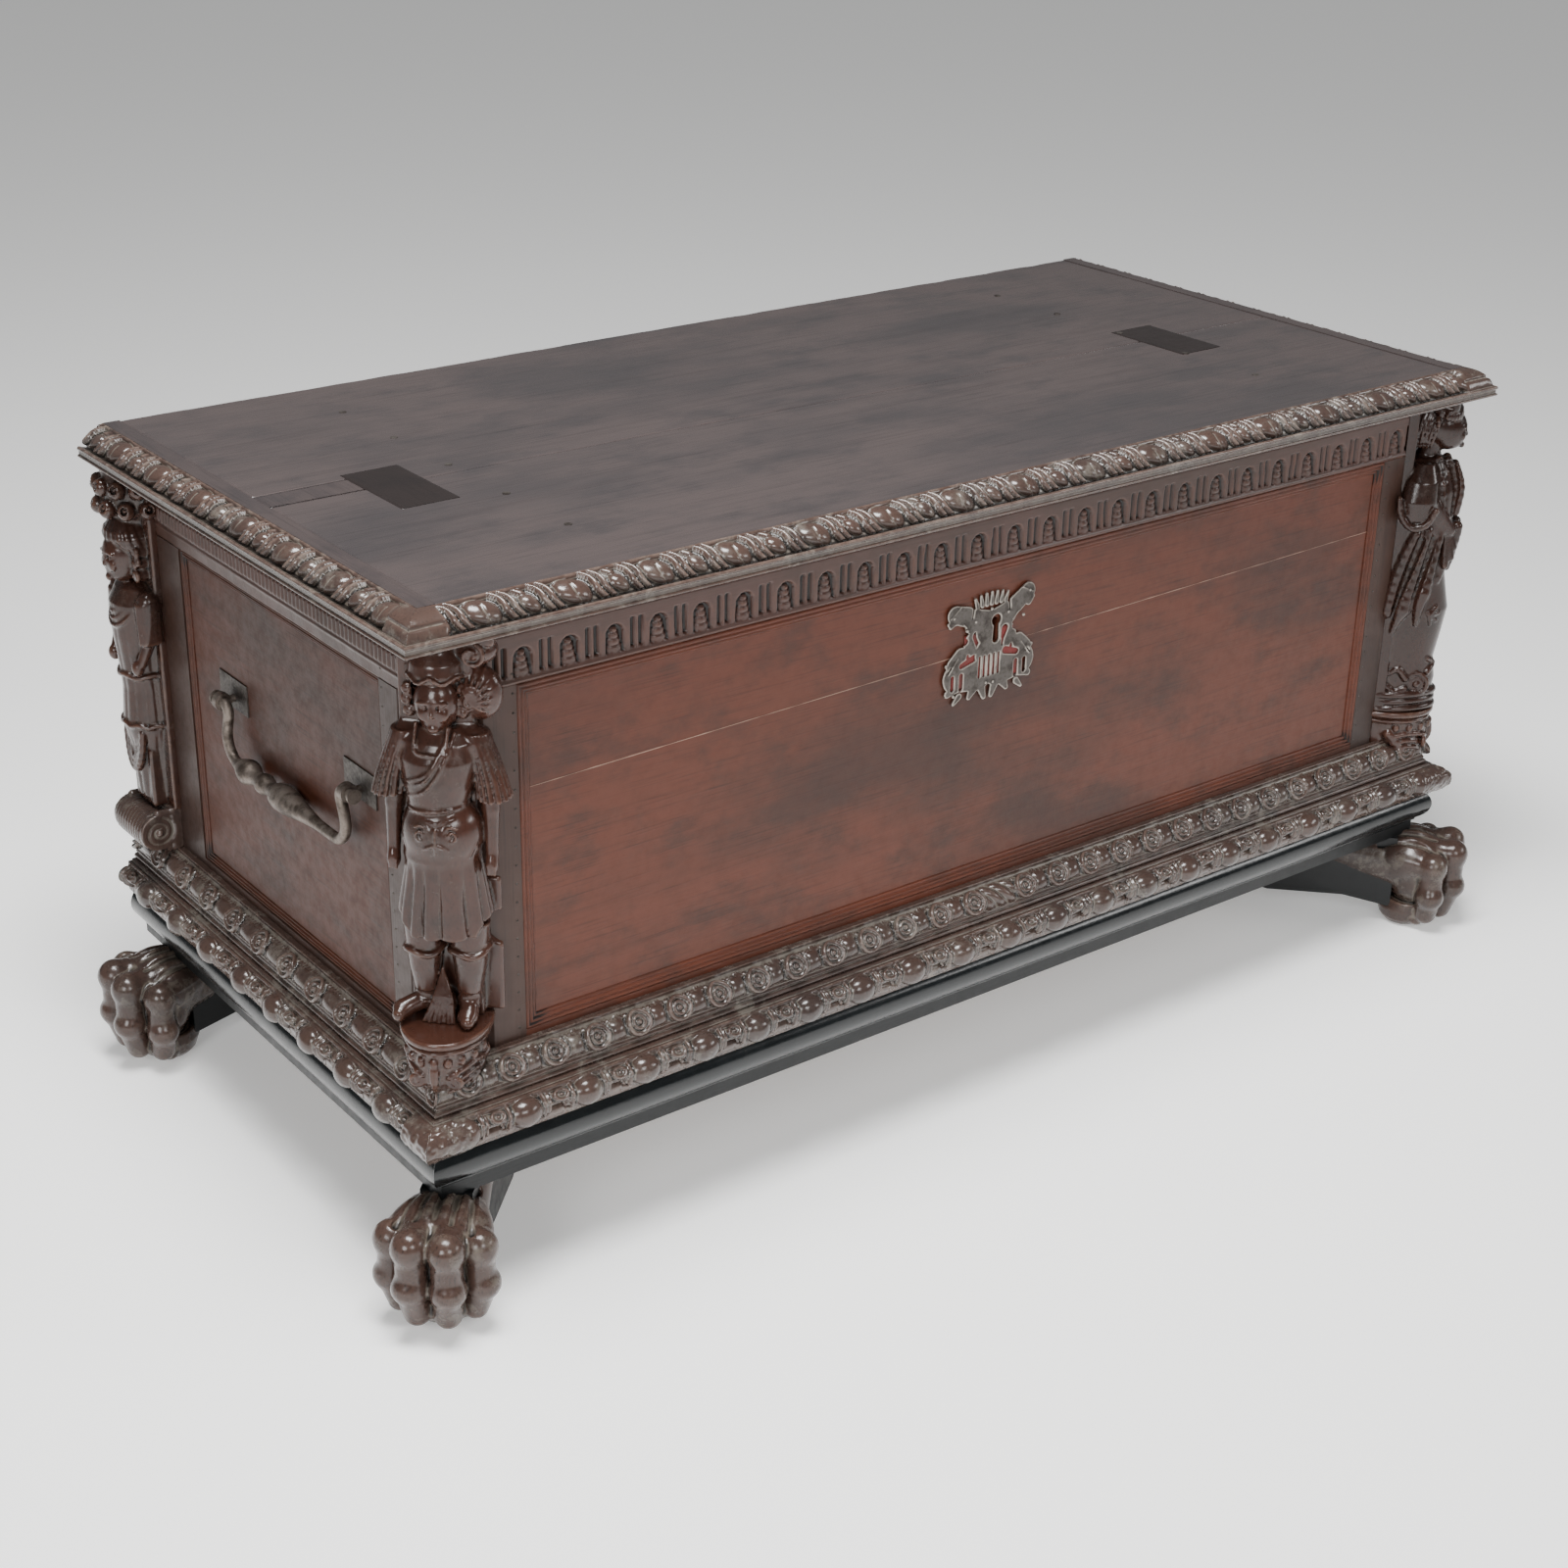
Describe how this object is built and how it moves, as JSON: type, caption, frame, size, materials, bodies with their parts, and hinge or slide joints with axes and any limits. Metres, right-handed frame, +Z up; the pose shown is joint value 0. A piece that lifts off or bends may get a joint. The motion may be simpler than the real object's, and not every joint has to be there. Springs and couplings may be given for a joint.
{
  "type": "cassone chest",
  "caption": "Long low walnut chest with carved figures at its corners, a hinged lid, carved mouldings, iron drop handles, a lock and paw feet.",
  "frame": {"origin": "on the floor, under the middle of the chest's box in plan", "axes": "+X along the length towards the right end, +Y from front to back, +Z up"},
  "size_m": [1.57, 0.7532, 0.721],
  "materials": {
    "walnut_panel": "aged reddish-brown walnut, rubbed wax sheen",
    "walnut_carved": "dark carved walnut, dust in the hollows and rubbed high spots",
    "walnut_lid": "dark grey-brown walnut, semi-gloss old finish",
    "ebonised_wood": "blackened wood, smooth polish",
    "wrought_iron": "forged iron, brown-grey patina, rubbed edges",
    "red_leather": "faded red leather",
    "softwood": "plain unpolished old wood"
  },
  "bodies": {
    "carcass": {"back_boards": "softwood", "chest_bottom": "softwood", "draped_figure": "walnut_carved", "escutcheon": "wrought_iron", "escutcheon_backing": "red_leather", "foot_brackets": "ebonised_wood", "front_bottom_rail": "walnut_carved", "front_consoles": "walnut_carved", "front_frieze": "walnut_carved", "front_panel_lower": "walnut_panel", "front_panel_moulding": "walnut_carved", "front_panel_upper": "walnut_panel", "front_stiles": "walnut_carved", "gadroon_moulding_front": "walnut_carved", "gadroon_moulding_left": "walnut_carved", "gadroon_moulding_right": "walnut_carved", "handle_eyes": "wrought_iron", "handle_plates": "wrought_iron", "hinge_fixed_leaves": "wrought_iron", "hinge_pins": "wrought_iron", "left_side_frame": "walnut_carved", "left_side_panel": "walnut_panel", "lock_case": "wrought_iron", "paw_front_left": "walnut_carved", "paw_front_right": "walnut_carved", "paw_rear_left": "walnut_carved", "paw_rear_right": "walnut_carved", "plinth_back": "ebonised_wood", "plinth_front": "ebonised_wood", "plinth_left": "ebonised_wood", "plinth_right": "ebonised_wood", "plinth_roll_front": "ebonised_wood", "plinth_roll_left": "ebonised_wood", "plinth_roll_right": "ebonised_wood", "rear_consoles": "walnut_carved", "rear_left_figure": "walnut_carved", "rear_right_figure": "walnut_carved", "right_side_frame": "walnut_carved", "right_side_panel": "walnut_panel", "rosette_moulding_front": "walnut_carved", "rosette_moulding_left": "walnut_carved", "rosette_moulding_right": "walnut_carved", "side_friezes": "walnut_carved", "warrior_figure": "walnut_carved"},
    "lid": {"lid_board_front": "walnut_lid", "lid_board_rear": "walnut_lid", "lid_end_strips": "walnut_lid", "lid_moulding_front": "walnut_lid", "lid_moulding_left": "walnut_lid", "lid_moulding_right": "walnut_lid", "lid_battens": "softwood", "lid_nails": "wrought_iron", "hinge_lid_leaves": "wrought_iron", "lid_lock_staple": "wrought_iron"},
    "handle_left_bail": {"handle_left": "wrought_iron"},
    "handle_right_bail": {"handle_right": "wrought_iron"},
    "bolt": {"lock_bolt": "wrought_iron"}
  },
  "joints": [
    {"name": "lid_hinge", "type": "hinge", "parent": "carcass", "child": "lid", "pos_m": [0, 0.37065, 0.689], "axis": [-1, 0, 0], "range_deg": [0, 100]},
    {"name": "handle_left_pivot", "type": "hinge", "parent": "carcass", "child": "handle_left_bail", "pos_m": [-0.6915, -0.00635, 0.486], "axis": [0, 1, 0], "range_deg": [0, 165]},
    {"name": "handle_right_pivot", "type": "hinge", "parent": "carcass", "child": "handle_right_bail", "pos_m": [0.6915, -0.00635, 0.486], "axis": [0, -1, 0], "range_deg": [0, 165]},
    {"name": "bolt_slide", "type": "slide", "parent": "carcass", "child": "bolt", "axis": [1, 0, 0], "range_m": [0, 0.014]}
  ]
}
